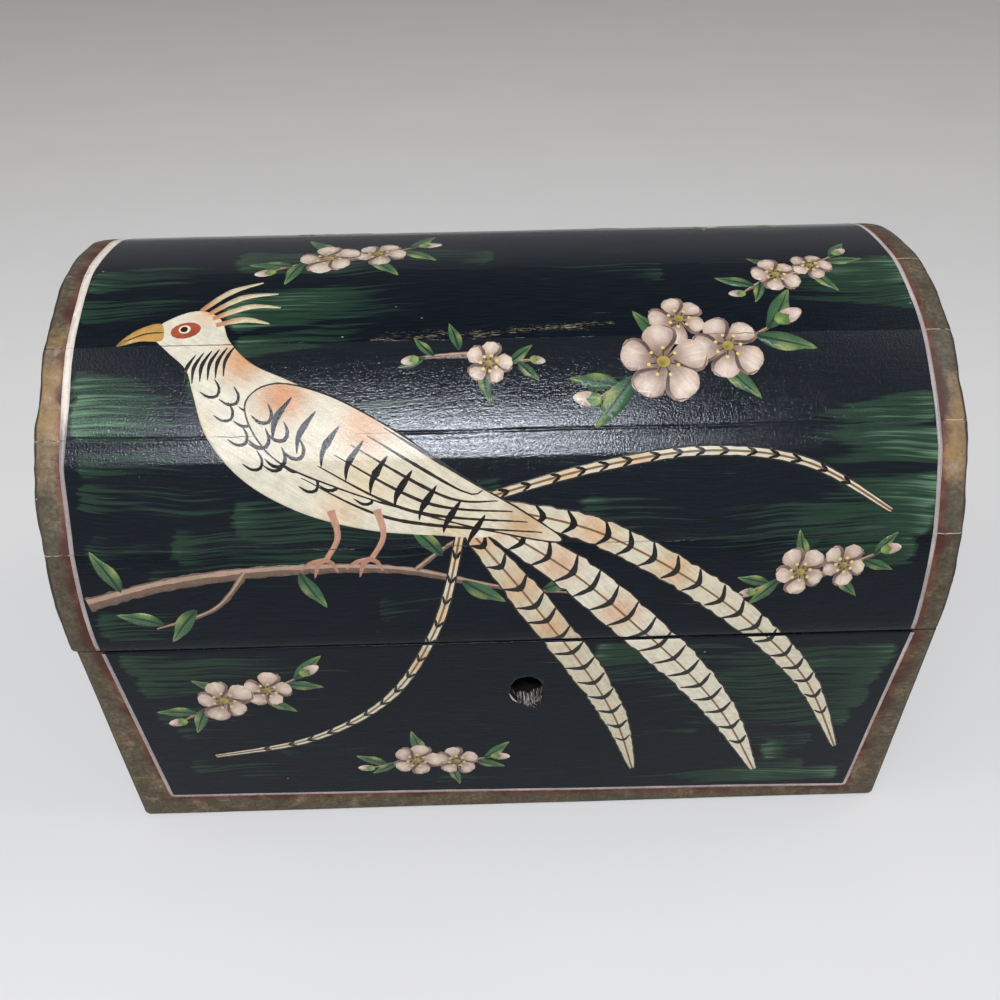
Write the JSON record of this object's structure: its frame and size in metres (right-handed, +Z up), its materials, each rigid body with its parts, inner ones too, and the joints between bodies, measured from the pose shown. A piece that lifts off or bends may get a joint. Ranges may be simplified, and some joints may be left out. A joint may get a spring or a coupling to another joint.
{
  "type": "painted trinket trunk",
  "caption": "Small painted wooden trunk: a domed lid of staves swings on two butt hinges over a boarded base with a keyhole and a sliding-bolt lock inside.",
  "frame": {"origin": "centre of the underside: mid length, mid depth, on the surface it stands on", "axes": "+X along the length to the right as seen from the front, -Y is the front with the keyhole, +Z up"},
  "size_m": [0.203, 0.134, 0.1335],
  "materials": {
    "painted_wood": "navy-black paint with green brush strokes under satin varnish, worn gilt and red borders",
    "bare_wood": "planed and lightly stained, matt",
    "hinge_brass": "pressed sheet, aged",
    "lock_steel": "pressed sheet, dull grey with brown tarnish",
    "iron_wire": "dark drawn wire"
  },
  "bodies": {
    "base": {"base_front_board": "painted_wood", "base_back_board": "painted_wood", "base_left_end": "painted_wood", "base_right_end": "painted_wood", "base_bottom_board": "bare_wood", "corner_brads": "iron_wire", "bottom_brads": "iron_wire", "left_hinge_base_leaf": "hinge_brass", "left_hinge_pin": "hinge_brass", "right_hinge_base_leaf": "hinge_brass", "right_hinge_pin": "hinge_brass", "base_hinge_screws": "hinge_brass", "lock_case": "lock_steel", "lock_screws": "iron_wire", "lock_studs": "lock_steel", "lock_key_pin": "lock_steel", "lock_spring": "lock_steel"},
    "lid": {"lid_stave_1": "painted_wood", "lid_stave_2": "painted_wood", "lid_stave_3": "painted_wood", "lid_stave_4": "painted_wood", "lid_stave_5": "painted_wood", "lid_stave_6": "painted_wood", "lid_stave_7": "painted_wood", "lid_stave_8": "painted_wood", "lid_stave_9": "painted_wood", "lid_left_end": "painted_wood", "lid_right_end": "painted_wood", "stave_brads": "iron_wire", "left_hinge_lid_leaf": "hinge_brass", "right_hinge_lid_leaf": "hinge_brass", "lid_hinge_screws": "hinge_brass", "link_plate": "lock_steel", "link_screws": "iron_wire"},
    "bolt": {"lock_bolt": "lock_steel"}
  },
  "joints": [
    {"name": "lid_hinge", "type": "hinge", "parent": "base", "child": "lid", "pos_m": [0, 0.0654, 0.06415], "axis": [-1, 0, 0], "range_deg": [0, 110]},
    {"name": "bolt_slide", "type": "slide", "parent": "base", "child": "bolt", "axis": [-1, 0, 0], "range_m": [0, 0.005]}
  ]
}
